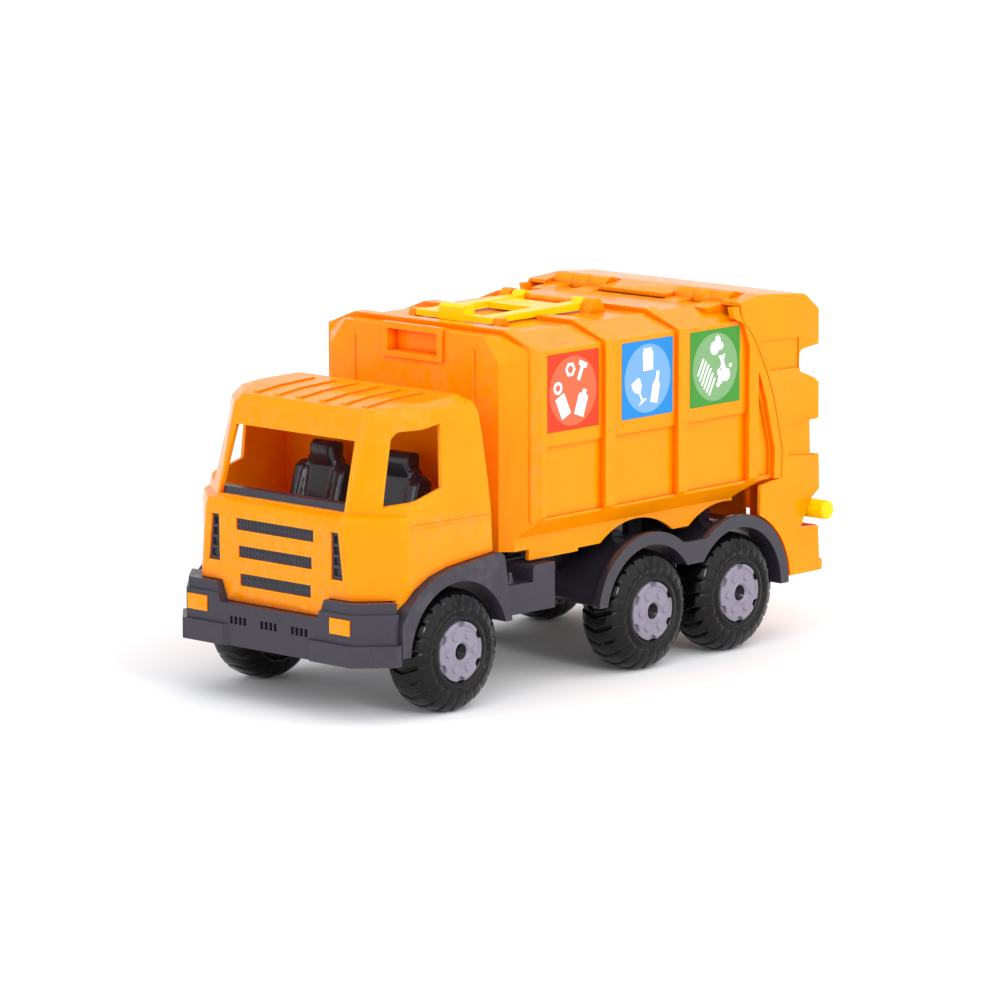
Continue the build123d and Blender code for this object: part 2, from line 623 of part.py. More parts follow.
with BuildPart() as hopper:
    add(front_prism(body_section(0.0, SKIRT_Z[0]), BODY_FRONT_Y, 175.0))
    add(plan_prism(body_plan(0.0, 175.0), 50.0, 230.0), mode=Mode.INTERSECT)
    add(corner_cut.part, mode=Mode.SUBTRACT)
    add(mirrored(corner_cut.part), mode=Mode.SUBTRACT)
    rib_frame = both_sides(
        [
            (BODY_HALF, BODY_BOTTOM_Z),
            (BODY_HALF + RIB_PROUD, BODY_BOTTOM_Z + 3.0),
            (BODY_HALF + RIB_PROUD, BODY_EAVE_Z + 1.0),
            (BODY_EAVE_X + 1.0, BODY_TOP_Z + RIB_PROUD),
        ]
    )
    rib_half = BODY_HALF + RIB_PROUD
    rib_plan = both_sides([(71.8, -78.8), (rib_half, -59.6), (rib_half, 200.0)])
    with BuildPart(mode=Mode.PRIVATE) as ribs:
        for rib_y in RIB_YS:
            add(front_prism(rib_frame, rib_y - RIB_WIDTH / 2, rib_y + RIB_WIDTH / 2))
        add(plan_prism(rib_plan, 60.0, 230.0), mode=Mode.INTERSECT)
    add(ribs.part)
    seam_rib = SEAM + SEAM_RIB_FRONT
    for side in (-1, 1):
        add(side_prism(seam_rib, *on_side(side, BODY_HALF - 1, BODY_HALF + RIB_PROUD)))
        for front_rib, rear_rib in zip(RIB_YS, RIB_YS[1:]):
            bay_y = (front_rib + RIB_WIDTH / 2, rear_rib - RIB_WIDTH / 2)
            panel_x = on_side(side, BODY_HALF - PANEL_RECESS, BODY_HALF + 1)
            add(block(panel_x, bay_y, (BODY_BOTTOM_Z + 1.5, LEDGE_Z)), mode=Mode.SUBTRACT)
        corner_panel = [(146.5, 110.0), (158.6, 110.0), (158.4, 128.0), (150.0, 158.0), (146.5, 166.0)]
        add(side_prism(corner_panel, *on_side(side, BODY_HALF - PANEL_RECESS, 95.0)), mode=Mode.SUBTRACT)
    add(block((-33.5, 33.5), (-52.0, 56.0), (BODY_TOP_Z, BODY_TOP_Z + 5)), mode=Mode.SUBTRACT)
    add(inner_form, mode=Mode.SUBTRACT)
    add(side_prism(behind_seam, -100.0, 100.0), mode=Mode.SUBTRACT)
    for axle in ("middle", "rear"):
        add(rod_x(AXLE_YS[axle], AXLE_Z, SKIRT_ARCH_R, -100.0, 100.0), mode=Mode.SUBTRACT)
    add(block((-100.0, 100.0), (-13.0, 134.0), (60.0, 84.0)), mode=Mode.SUBTRACT)
    add(block((-90.0, 90.0), (BODY_FRONT_Y - 1, -58.0), (60.0, 89.0)), mode=Mode.SUBTRACT)
    add(block((-60.0, 60.0), (BODY_FRONT_Y - 1, -58.0), (60.0, 104.0)), mode=Mode.SUBTRACT)
    add(block((-25.5, 25.5), (BODY_FRONT_Y - 1.6, BODY_FRONT_Y + 2.0), (201.6, 223.0)))
    pocket = block((-21.0, 21.0), (BODY_FRONT_Y - 3.0, BODY_FRONT_Y + 7.0), (205.2, 219.0))
    add(pocket, mode=Mode.SUBTRACT)
    for side in (-1, 1):
        add(block(on_side(side, 49.5, 51.5), (BODY_FRONT_Y - 0.8, BODY_FRONT_Y + 1), (110.0, 212.0)))
        lug = [
            (LEVER_Y - 8.0, BODY_TOP_Z - 1.0),
            (LEVER_Y - 4.2, LEVER_Z + 1.6),
            (LEVER_Y - 2.0, LEVER_Z + 4.0),
            (LEVER_Y + 2.0, LEVER_Z + 4.0),
            (LEVER_Y + 4.2, LEVER_Z + 1.6),
            (LEVER_Y + 8.0, BODY_TOP_Z - 1.0),
        ]
        add(side_prism(lug, *on_side(side, *LUG_X)))
        rest_lug = [(-42.0, BODY_TOP_Z - 1), (-40.0, LEVER_Z), (-35.0, LEVER_Z), (-33.0, BODY_TOP_Z - 1)]
        add(side_prism(rest_lug, *on_side(side, 33.5, 39.0)))
        for near in (HINGE_X - 1.5 * KNUCKLE, HINGE_X + 0.5 * KNUCKLE):
            knuckle_x = on_side(side, near, near + KNUCKLE)
            add(rod_x(HINGE_Y, HINGE_Z, BARREL_R, *knuckle_x))
            arm = [
                (112.0, 214.0),
                (112.0, 220.5),
                (HINGE_Y, HINGE_Z + 1.5),
                (HINGE_Y, HINGE_Z - BARREL_R),
                (126.0, 212.5),
            ]
            add(side_prism(arm, *knuckle_x))
    add(rod_x(LEVER_Y, LEVER_Z, LEVER_PIN_R, -LEVER_PIN_X, LEVER_PIN_X), mode=Mode.SUBTRACT)
    for side in (-1, 1):
        add(rod_x(HINGE_Y, HINGE_Z, HINGE_PIN_R, *on_side(side, *HINGE_PIN_X)), mode=Mode.SUBTRACT)
export(hopper.part, "hopper_body")

with BuildPart() as floor:
    add(block((-BODY_HALF, BODY_HALF), (BODY_FRONT_Y, 165.0), FLOOR_Z))
    add(inner_form, mode=Mode.INTERSECT)
    for x, y in SCREW_SPOTS:
        if y > -100:
            with BuildSketch(Plane.XY.offset(FLOOR_Z[0] - 1)):
                with Locations((x, y)):
                    Circle(SCREW_R)
            extrude(amount=10.0, mode=Mode.SUBTRACT)
export(floor.part, "hopper_floor")

# ---------------------------------------------------------------- side stickers

for colour, sticker_y in STICKER_YS.items():
    sticker_range_y = (sticker_y - STICKER / 2, sticker_y + STICKER / 2)
    sticker_range_z = (STICKER_Z - STICKER / 2, STICKER_Z + STICKER / 2)
    sticker = block((BODY_HALF, BODY_HALF + STICKER_THICK), sticker_range_y, sticker_range_z)
    export(sticker, f"sticker_{colour}_left")
    export(mirrored(sticker), f"sticker_{colour}_right")

# ---------------------------------------------------------------- roof lever

LEVER_ARM_X = (20.5, 30.0)
LEVER_LOW_Z = 222.2
with BuildPart() as lever:
    add(block((-32.0, 32.0), (-42.0, -36.0), (LEVER_LOW_Z, LEVER_Z)))
    add(block((-30.0, 30.0), (12.0, 36.0), (LEVER_LOW_Z, LEVER_Z)))
    for side in (-1, 1):
        arm_x = on_side(side, *LEVER_ARM_X)
        arm = [
            (-37.0, LEVER_LOW_Z),
            (-37.0, LEVER_Z),
            (LEVER_Y - 4.0, LEVER_Z + 1.0),
            (LEVER_Y, LEVER_Z + 3.8),
            (LEVER_Y, LEVER_Z - 3.8),
        ]
        add(side_prism(arm, *arm_x))
        add(rod_x(LEVER_Y, LEVER_Z, 3.8, *arm_x))
    grip = [
        (-44.0, LEVER_LOW_Z),
        (-34.0, LEVER_LOW_Z),
        (-34.0, 230.5),
        (-36.0, 232.0),
        (-42.0, 232.0),
        (-44.0, 230.5),
    ]
    add(side_prism(grip, -10.5, 10.5))
    add(rod_x(LEVER_Y, LEVER_Z, LEVER_PIN_R + PIN_CLEARANCE, -60.0, 60.0), mode=Mode.SUBTRACT)
export(lever.part, "roof_lever")
export(rod_x(LEVER_Y, LEVER_Z, LEVER_PIN_R, -LEVER_PIN_X, LEVER_PIN_X), "roof_lever_pin")

# ---------------------------------------------------------------- tailgate

LIFTER_Y = 190.0
LIFTER_Z = 153.5
LIFTER_PIN_R = 2.5
LIFTER_PIN_X = 89.6         # outer end of the pivot pins, hidden in the cheeks
LIFTER_BOSS_X = 86.0
PEG_Y = 201.0
PEG_Z = 83.0
PEG_R = 6.2
PEG_HALF = 103.0
SHELL_TOP_Z = BODY_TOP_Z + RIB_PROUD
TAIL_WALL = 2.6

CHEEK_FRONT = shifted(SEAM[1:], 0.8)
CHEEK_REAR = [
    (REAR_Y - 0.8, 42.0),
    (REAR_Y, 42.8),
    (REAR_Y, 48.6),
    (206.2, 50.4),
    (204.8, 71.2),
    (187.0, 72.4),
    (196.8, 89.6),
    (205.8, 95.5),
    (204.8, 118.3),
    (197.2, 119.4),
    (196.4, 141.0),
    (204.4, 141.6),
    (204.2, 165.0),
    (198.5, 168.8),
    (186.0, 173.5),
    (184.5, 177.0),
    (184.8, 185.5),
    (187.0, 188.0),
    (203.9, 189.8),
    (203.7, 212.4),
    (190.0, 223.4),
    (152.0, 226.4),
]
tail_side = (
    [(HINGE_Y - 13.6, SHELL_TOP_Z), (HINGE_Y - 13.4, HINGE_Z - 2.0)]
    + CHEEK_FRONT
    + [(147.0, 104.2), (146.6, 70.0), (160.0, 42.0)]
    + CHEEK_REAR
)
tail_section = both_sides(
    [(CHEEK_X[1], 30.0), (CHEEK_X[1], SHELL_TOP_Z - 2.0), (CHEEK_X[1] - 5.0, SHELL_TOP_Z + 3.0)]
)
tail_inner_section = both_sides(
    [(CHEEK_X[0], 20.0), (CHEEK_X[0], SHELL_TOP_Z - 3.0), (CHEEK_X[0] - 4.0, SHELL_TOP_Z + 1.0)]
)
REAR_WALL_Y = 181.0
TUB_LINE = [
    (205.2, 71.6),
    (204.0, 58.0),
    (198.0, 50.0),
    (186.0, 48.0),
    (179.0, 52.0),
    (175.0, 70.0),
    (173.4, 100.0),
]
TUB_HALF = 88.4
TUB_FRONT_HALF = 55.0

with BuildPart() as tailgate:
    add(side_prism(tail_side, -CHEEK_X[1], CHEEK_X[1]))
    add(front_prism(tail_section, 100.0, 215.0), mode=Mode.INTERSECT)
    add(rod_x(AXLE_YS["rear"], AXLE_Z, ARCH_CLEAR_R, -100.0, 100.0), mode=Mode.SUBTRACT)
    hood_room = [
        (100.0, 20.0),
        (220.0, 20.0),
        (220.0, 192.2),
        (200.0, 192.2),
        (201.0, 210.8),
        (189.0, 220.6),
        (152.0, 223.6),
        (126.0, SHELL_TOP_Z - TAIL_WALL),
        (100.0, SHELL_TOP_Z - TAIL_WALL),
    ]
    hood_inner = side_prism(hood_room, -100.0, 100.0)
    add(hood_inner & front_prism(tail_inner_section, 90.0, 230.0), mode=Mode.SUBTRACT)
    add(block((-CHEEK_X[0], CHEEK_X[0]), (REAR_WALL_Y - TAIL_WALL, REAR_WALL_Y), (128.0, 213.0)))
    add(block((-CHEEK_X[0], CHEEK_X[0]), (REAR_WALL_Y - TAIL_WALL, 203.0), (189.8, 192.2)))
    for rail_z in (134.0, 160.0):
        add(block((-78.0, 78.0), (REAR_WALL_Y, REAR_WALL_Y + 2.0), (rail_z, rail_z + 5.0)))
    for rail_x in (-50.0, 0.0, 50.0):
        add(block((rail_x - 3, rail_x + 3), (REAR_WALL_Y, REAR_WALL_Y + 2.0), (130.0, 189.8)))
    with BuildSketch(Plane.YZ.offset(-TUB_HALF)):
        with BuildLine():
            Polyline(*TUB_LINE[:5])
        trace(line_width=TAIL_WALL)
    extrude(amount=2 * TUB_HALF)
    with BuildSketch(Plane.YZ.offset(-TUB_FRONT_HALF)):
        with BuildLine():
            Polyline(*TUB_LINE[4:])
        trace(line_width=TAIL_WALL)
    extrude(amount=2 * TUB_FRONT_HALF)
    for side in (-1, 1):
        panel_x = on_side(side, TUB_FRONT_HALF, CHEEK_X[0])
        add(side_prism([(179.0, 50.0), (181.4, 50.6), (181.4, 100.0), (179.0, 100.0)], *panel_x))
        add(block(on_side(side, 28.8, 75.2), (100.0, 149.5), (205.0, 230.0)), mode=Mode.SUBTRACT)
        knuckle_x = on_side(side, HINGE_X - KNUCKLE / 2 + 0.4, HINGE_X + KNUCKLE / 2 - 0.4)
        add(rod_x(HINGE_Y, HINGE_Z, BARREL_R, *knuckle_x))
        arm = [
            (HINGE_Y, HINGE_Z - BARREL_R),
            (HINGE_Y, HINGE_Z + 2.0),
            (156.0, SHELL_TOP_Z - 0.6),
            (156.0, HINGE_Z - 4.0),
        ]
        add(side_prism(arm, *knuckle_x))
        band = [(155.6, 177.4), (184.0, 176.6), (184.0, 195.8), (145.0, 197.6)]
        add(side_prism(band, *on_side(side, CHEEK_X[1] - 0.9, 95.0)), mode=Mode.SUBTRACT)
        recess = [(174.6, 140.6), (174.6, 120.6), (200.0, 118.0), (200.0, 142.0)]
        add(side_prism(recess, *on_side(side, CHEEK_X[1] - 1.0, 95.0)), mode=Mode.SUBTRACT)
        add(rod_x(LIFTER_Y, LIFTER_Z, 6.0, *on_side(side, LIFTER_BOSS_X, CHEEK_X[0] + 1)))
        pin_x = on_side(side, 80.0, LIFTER_PIN_X)
        add(rod_x(LIFTER_Y, LIFTER_Z, LIFTER_PIN_R, *pin_x), mode=Mode.SUBTRACT)
        barrel_x = on_side(side, 28.0, 76.0)
        add(rod_x(HINGE_Y, HINGE_Z, HINGE_PIN_R + PIN_CLEARANCE, *barrel_x), mode=Mode.SUBTRACT)
export(tailgate.part, "tailgate")

with BuildPart() as hinge_pins:
    for side in (-1, 1):
        add(rod_x(HINGE_Y, HINGE_Z, HINGE_PIN_R, *on_side(side, *HINGE_PIN_X)))
export(hinge_pins.part, "tailgate_hinge_pins")

# ---------------------------------------------------------------- bin lifter

LIFTER_ARM_X = (80.4, 85.4)
with BuildPart() as lifter:
    add(rod_x(PEG_Y, PEG_Z, PEG_R, -PEG_HALF, PEG_HALF))
    tips = lifter.edges().filter_by(GeomType.CIRCLE).group_by(Axis.X)
    fillet(tips[0] + tips[-1], 2.4)
    for side in (-1, 1):
        arm_x = on_side(side, *LIFTER_ARM_X)
        arm = [
            (LIFTER_Y - 5.0, LIFTER_Z),
            (LIFTER_Y + 5.0, LIFTER_Z),
            (PEG_Y + 4.5, PEG_Z),
            (PEG_Y - 4.5, PEG_Z),
        ]
        add(side_prism(arm, *arm_x))
        add(rod_x(LIFTER_Y, LIFTER_Z, 6.0, *arm_x))
    comb_y = (PEG_Y - 2.0, PEG_Y + 1.0)
    add(block((-62.0, 62.0), comb_y, (PEG_Z, PEG_Z + 14.0)))
    for tooth_x in (-54.0, -27.0, 0.0, 27.0, 54.0):
        tooth = [
            (tooth_x - 6.0, PEG_Z + 13.0),
            (tooth_x - 3.5, PEG_Z + 32.0),
            (tooth_x + 3.5, PEG_Z + 32.0),
            (tooth_x + 6.0, PEG_Z + 13.0),
        ]
        add(front_prism(tooth, *comb_y))
    add(rod_x(LIFTER_Y, LIFTER_Z, LIFTER_PIN_R + PIN_CLEARANCE, -100.0, 100.0), mode=Mode.SUBTRACT)
export(lifter.part, "bin_lifter")

with BuildPart() as lifter_pins:
    for side in (-1, 1):
        add(rod_x(LIFTER_Y, LIFTER_Z, LIFTER_PIN_R, *on_side(side, LIFTER_ARM_X[0], LIFTER_PIN_X)))
export(lifter_pins.part, "lifter_pins")

# ---------------------------------------------------------------- rear mudguards

GUARD_R = (42.0, 44.8, 50.0)    # wheel side, outside of the tunnel, outside of the rim
GUARD_X = (47.0, 85.0, 91.0)    # tunnel from first to second, rim from second to third
GUARD_END_Z = (46.0, 62.6, 38.0)    # lower ends in front, between the wheels and behind
# Filling between the arches, measured from the middle between them and from their tops
VALLEY = ((-24.0, -7.0), (-10.0, -10.6), (10.0, -10.6), (24.0, -7.0), (24.0, -30.0), (-24.0, -30.0))


def guard_band(outer_r, x_low, x_high):
    """Double arch over the middle and rear wheels between two x values."""
    middle_y = AXLE_YS["middle"]
    rear_y = AXLE_YS["rear"]
    valley_y = (middle_y + rear_y) / 2
    with BuildPart() as band:
        with BuildSketch(Plane.YZ.offset(x_low)):
            with Locations((middle_y, AXLE_Z), (rear_y, AXLE_Z)):
                Circle(outer_r)
            with BuildLine():
                Polyline(*[(valley_y + dy, AXLE_Z + dz + outer_r) for dy, dz in VALLEY], close=True)
            make_face()
            with Locations((middle_y, AXLE_Z), (rear_y, AXLE_Z)):
                Circle(GUARD_R[0], mode=Mode.SUBTRACT)
        extrude(amount=x_high - x_low)
        x_room = (x_low - 1, x_high + 1)
        add(block(x_room, (-30.0, middle_y), (-20.0, GUARD_END_Z[0])), mode=Mode.SUBTRACT)
        add(block(x_room, (middle_y, rear_y), (-20.0, GUARD_END_Z[1])), mode=Mode.SUBTRACT)
        add(block(x_room, (rear_y, 200.0), (-20.0, GUARD_END_Z[2])), mode=Mode.SUBTRACT)
    return band.part


with BuildPart() as mudguard:
    add(guard_band(GUARD_R[1], GUARD_X[0], GUARD_X[1]))
    add(guard_band(GUARD_R[2], GUARD_X[1], GUARD_X[2]))
    for axle in ("middle", "rear"):
        post_y = AXLE_YS[axle]
        add(block((52.0, 62.0), (post_y - 5.0, post_y + 5.0), (AXLE_Z + GUARD_R[0] + 1.0, FLOOR_Z[0])))
export(mudguard.part, "rear_mudguard_left")
export(mirrored(mudguard.part), "rear_mudguard_right")
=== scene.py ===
import math

import bmesh
import bpy
from mathutils import Matrix, Vector


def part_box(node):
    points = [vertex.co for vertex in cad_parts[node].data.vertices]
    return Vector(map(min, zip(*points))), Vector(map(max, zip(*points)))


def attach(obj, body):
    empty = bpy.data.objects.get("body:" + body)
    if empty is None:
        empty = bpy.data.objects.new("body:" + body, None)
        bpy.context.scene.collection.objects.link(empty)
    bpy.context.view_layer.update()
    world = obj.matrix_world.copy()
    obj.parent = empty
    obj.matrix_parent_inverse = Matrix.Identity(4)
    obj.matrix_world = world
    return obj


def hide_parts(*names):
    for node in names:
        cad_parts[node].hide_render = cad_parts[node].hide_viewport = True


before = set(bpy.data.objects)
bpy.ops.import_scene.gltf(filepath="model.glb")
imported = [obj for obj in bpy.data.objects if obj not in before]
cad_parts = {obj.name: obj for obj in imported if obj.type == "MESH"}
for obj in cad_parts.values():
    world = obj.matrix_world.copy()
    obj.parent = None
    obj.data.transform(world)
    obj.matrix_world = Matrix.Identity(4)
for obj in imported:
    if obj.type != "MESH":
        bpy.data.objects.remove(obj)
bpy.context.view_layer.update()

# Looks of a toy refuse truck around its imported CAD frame. Metres, +Z up, the cab faces -Y.

MM = 0.001
SIDES = {"left": 1, "right": -1}
AXLES = ("front", "middle", "rear")
STICKER_COLOURS = ("red", "blue", "green")

# Colours, linear RGB
ORANGE = (1.0, 0.27, 0.0)
# Colour of the painted shade that deepens the orange where two faces meet
CREASE_SHADE_ORANGE = (0.85, 0.1, 0.0)
DARK_GREY = (0.031, 0.027, 0.039)
TYRE_BLACK = (0.003, 0.003, 0.0035)
HUB_GREY = (0.22, 0.2, 0.255)
YELLOW = (1.0, 0.57, 0.0)
STEEL = (0.55, 0.55, 0.57)
WHITE = (0.88, 0.88, 0.88)
STICKER_BORDER = {
    "red": (0.6, 0.04, 0.008),
    "blue": (0.01, 0.21, 0.56),
    "green": (0.045, 0.25, 0.03),
}
STICKER_DISC = {
    "red": (0.68, 0.12, 0.05),
    "blue": (0.15, 0.34, 0.64),
    "green": (0.18, 0.35, 0.15),
}


# ---------------------------------------------------------------- materials

def new_material(name):
    """A material, its node tree and its shader."""
    material = bpy.data.materials.new(name)
    material.use_nodes = True
    return material, material.node_tree, material.node_tree.nodes["Principled BSDF"]


def noise(tree, scale, detail=3.0):
    """Noise over the object's own coordinates; returns the output that varies from 0 to 1."""
    coords = tree.nodes.new("ShaderNodeTexCoord")
    texture = tree.nodes.new("ShaderNodeTexNoise")
    texture.inputs["Scale"].default_value = scale
    texture.inputs["Detail"].default_value = detail
    tree.links.new(coords.outputs["Object"], texture.inputs["Vector"])
    return texture.outputs["Fac"]


def remap(tree, value, low, high, from_low=0.3, from_high=0.7):
    """The value stretched from one range to another."""
    node = tree.nodes.new("ShaderNodeMapRange")
    node.inputs["From Min"].default_value = from_low
    node.inputs["From Max"].default_value = from_high
    node.inputs["To Min"].default_value = low
    node.inputs["To Max"].default_value = high
    tree.links.new(value, node.inputs["Value"])
    return node.outputs["Result"]


def mix_colour(tree, factor, first, second):
    """A colour between two, each given as a colour or as a node's output."""
    node = tree.nodes.new("ShaderNodeMix")
    node.data_type = "RGBA"
    tree.links.new(factor, node.inputs["Factor"])
    for socket, colour in ((node.inputs["A"], first), (node.inputs["B"], second)):
        if isinstance(colour, tuple):
            socket.default_value = (*colour, 1.0)
        else:
            tree.links.new(colour, socket)
    return node.outputs["Result"]


def worn_edges(tree, amount):
    """How worn a point is: convex edges, broken up by noise."""
    geometry = tree.nodes.new("ShaderNodeNewGeometry")
    edge = remap(tree, geometry.outputs["Pointiness"], 0.0, amount, 0.52, 0.62)
    product = tree.nodes.new("ShaderNodeMath")
    product.operation = "MULTIPLY"
    tree.links.new(edge, product.inputs[0])
    tree.links.new(remap(tree, noise(tree, 160.0), 0.0, 1.0, 0.4, 0.6), product.inputs[1])
    return product.outputs["Value"]


def bumps(tree, shader, heights):
    """Chain of bump nodes; heights is a list of (noise scale, strength, distance)."""
    normal = None
    for scale, strength, distance in heights:
        bump = tree.nodes.new("ShaderNodeBump")
        bump.inputs["Strength"].default_value = strength
        bump.inputs["Distance"].default_value = distance
        tree.links.new(noise(tree, scale), bump.inputs["Height"])
        if normal:
            tree.links.new(normal, bump.inputs["Normal"])
        normal = bump.outputs["Normal"]
    tree.links.new(normal, shader.inputs["Normal"])


def scaled(colour, factor):
    """The colour made darker or lighter, kept within 0 and 1."""
    return tuple(min(1.0, channel * factor) for channel in colour)


RUBBED_PALER = 0.1           # how much paler rubbed edges are
GLOW_DEPTH = 6 * MM          # how far red light travels through the thin orange walls
GLOW_RADIUS = (1.0, 0.22, 0.02)     # share of that depth for red, green and blue
CREASE_REACH = 5 * MM        # how far from a crease the painted shade reaches
MOTTLE = 0.03                # how far flow marks stray from the plastic's colour
PRINT_SPECULAR = 0.2


def crease_shade_mask(tree):
    """1 on open surfaces, falling towards 0 in the corners where two faces meet."""
    # Painted shade: this mask darkens colour in the corners, where shade falls
    shade = tree.nodes.new("ShaderNodeAmbientOcclusion")
    shade.samples = 8
    shade.inputs["Distance"].default_value = CREASE_REACH
    return remap(tree, shade.outputs["AO"], 0.0, 1.0, 0.35, 0.95)


def moulded_plastic(
    name,
    colour,
    roughness,
    coat=0.0,
    grain=0.1,
    wear=0.2,
    glow=0.0,
    specular=0.32,
    deep=None,
):
    """Moulded plastic: flow marks, uneven sheen, fine grain and rubbed edges.

    glow is how much light wanders inside it, deep the colour of painted shade where faces meet, if
    any.
    """
    material, tree, shader = new_material(name)
    flow = remap(tree, noise(tree, 26.0, 4.0), 0.0, 1.0)
    body = mix_colour(tree, flow, scaled(colour, 1.0 - MOTTLE), scaled(colour, 1.0 + MOTTLE))
    # Painted shade: the colour deepens towards deep where faces meet
    if deep:
        body = mix_colour(tree, crease_shade_mask(tree), deep, body)
    rubbed = tuple(channel + (1.0 - channel) * RUBBED_PALER for channel in colour)
    finished = mix_colour(tree, worn_edges(tree, wear), body, rubbed)
    tree.links.new(finished, shader.inputs["Base Color"])
    sheen = remap(tree, noise(tree, 70.0), roughness * 0.8, roughness * 1.25)
    tree.links.new(sheen, shader.inputs["Roughness"])
    shader.inputs["Specular IOR Level"].default_value = specular
    shader.inputs["Subsurface Weight"].default_value = glow
    shader.inputs["Subsurface Radius"].default_value = GLOW_RADIUS
    shader.inputs["Subsurface Scale"].default_value = GLOW_DEPTH
    shader.inputs["Coat Weight"].default_value = coat
    shader.inputs["Coat Roughness"].default_value = 0.08
    bumps(tree, shader, [(1800.0, grain, 0.00005), (22.0, 0.25, 0.0006)])
    return material


def brushed_metal(name, colour, roughness):
    """Steel with a fine grain and dull spots."""
    material, tree, shader = new_material(name)
    shader.inputs["Metallic"].default_value = 1.0
    spots = remap(tree, noise(tree, 300.0), 0.0, 1.0)
    spotted = mix_colour(tree, spots, scaled(colour, 0.75), colour)
    tree.links.new(spotted, shader.inputs["Base Color"])
    sheen = remap(tree, noise(tree, 90.0), roughness * 0.7, roughness * 1.4)
    tree.links.new(sheen, shader.inputs["Roughness"])
    bumps(tree, shader, [(2500.0, 0.2, 0.00004)])
    return material


def printed_paper(name, colour):
    """Ink on a coated label: slight unevenness of the print and a smooth surface."""
    material, tree, shader = new_material(name)
    ink = remap(tree, noise(tree, 900.0), 0.0, 1.0)
    print_colour = mix_colour(tree, ink, scaled(colour, 0.94), scaled(colour, 1.03))
    tree.links.new(print_colour, shader.inputs["Base Color"])
    sheen = remap(tree, noise(tree, 60.0), 0.28, 0.42)
    tree.links.new(sheen, shader.inputs["Roughness"])
    shader.inputs["Specular IOR Level"].default_value = PRINT_SPECULAR
    bumps(tree, shader, [(500.0, 0.1, 0.00005), (60.0, 0.2, 0.0002)])
    return material


orange = moulded_plastic(
    "orange_plastic", ORANGE, 0.16, glow=0.6, specular=0.13, deep=CREASE_SHADE_ORANGE
)
dark_grey = moulded_plastic("dark_grey_plastic", DARK_GREY, 0.3, grain=0.16)
dark_gloss = moulded_plastic("dark_grey_gloss", scaled(DARK_GREY, 0.75), 0.16, coat=0.3)
seat_plastic = moulded_plastic("seat_plastic", scaled(DARK_GREY, 0.8), 0.2, coat=0.25)
tyre_black = moulded_plastic(
    "tyre_plastic", TYRE_BLACK, 0.12, coat=0.08, grain=0.03, wear=0.03, specular=0.18
)
hub_grey = moulded_plastic("hub_plastic", HUB_GREY, 0.3)
yellow = moulded_plastic("yellow_plastic", YELLOW, 0.18, glow=0.2, specular=0.2)
steel = brushed_metal("drawn_steel", STEEL, 0.25)
border_ink = {c: printed_paper(f"label_{c}_border", STICKER_BORDER[c]) for c in STICKER_COLOURS}
disc_ink = {c: printed_paper(f"label_{c}_disc", STICKER_DISC[c]) for c in STICKER_COLOURS}
white_ink = printed_paper("label_white", WHITE)


# ---------------------------------------------------------------- finish of the CAD nodes

WELD_REACH = 0.01 * MM
SHARP_ANGLE = 28             # degrees from which an edge is rounded
SEAT_VOXEL = 1.5 * MM
SEAT_SMOOTHING = 9           # rounds of smoothing over the seats


def soften(name, width):
    """Round a moulding's edges a little, as a moulded piece has them."""
    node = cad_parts[name]
    node.modifiers.new("weld", "WELD").merge_threshold = WELD_REACH
    bevel = node.modifiers.new("rounded_edges", "BEVEL")
    bevel.width = width
    bevel.segments = 3
    bevel.limit_method = "ANGLE"
    bevel.angle_limit = math.radians(SHARP_ANGLE)
    bevel.harden_normals = True
    bevel.use_clamp_overlap = True


def padded_form(name):
    """Melt the blocks of a seat into one rounded moulding."""
    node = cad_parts[name]
    node.modifiers.new("weld", "WELD").merge_threshold = WELD_REACH
    remesh = node.modifiers.new("one_skin", "REMESH")
    remesh.mode = "VOXEL"
    remesh.voxel_size = SEAT_VOXEL
    remesh.use_smooth_shade = True
    smooth = node.modifiers.new("rounded", "SMOOTH")
    smooth.factor = 0.6
    smooth.iterations = SEAT_SMOOTHING


def paint(material, names):
    """Give the CAD nodes their finish."""
    for name in names:
        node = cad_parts[name]
        if node.material_slots:
            node.material_slots[0].material = material
        else:
            node.data.materials.append(material)


SHELLS = ["cab_shell", "hopper_body", "tailgate"]
FENDERS = [f"front_fender_{side}" for side in SIDES]
MUDGUARDS = [f"rear_mudguard_{side}" for side in SIDES]
LEVERS = ["roof_lever", "bin_lifter"]
SEATS = [f"seat_{side}" for side in SIDES]
HUBS = [f"{axle}_hub_{side}" for axle in AXLES for side in SIDES]
HANGERS = [f"{axle}_axle_hangers" for axle in AXLES]
paint(orange, SHELLS + ["indicator_left", "indicator_right"])
paint(orange, ["roof_lever_pin", "tailgate_hinge_pins"])
paint(dark_grey, ["chassis_frame", "front_bumper"] + FENDERS)
paint(dark_grey, ["grille_insert", "cab_floor", "hopper_floor"] + HANGERS)
paint(seat_plastic, SEATS)
paint(dark_gloss, MUDGUARDS)
paint(hub_grey, HUBS)
paint(steel, [f"{axle}_axle" for axle in AXLES] + ["body_screws"])
paint(yellow, LEVERS + ["lifter_pins"])

EDGE_WIDTHS = (
    (0.5 * MM, SHELLS),
    (0.6 * MM, ["front_bumper"] + FENDERS + LEVERS),
    (0.4 * MM, MUDGUARDS + ["cab_floor", "grille_insert"]),
    (0.3 * MM, HUBS),
)
for edge_width, mouldings in EDGE_WIDTHS:
    for moulding in mouldings:
        soften(moulding, edge_width)
for seat in SEATS:
    padded_form(seat)


# ---------------------------------------------------------------- meshes made here

def add_piece(name, mesh, material, body):
    """Link a mesh as a visible piece that moves with a CAD body."""
    piece = bpy.data.objects.new(name, mesh)
    bpy.context.scene.collection.objects.link(piece)
    mesh.materials.clear()
    mesh.materials.append(material)
    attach(piece, body)
    return piece


def centre_of(node):
    """Middle of a CAD node's box and half its size."""
    low, high = (Vector(corner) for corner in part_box(node))
    return (low + high) / 2, (high - low) / 2


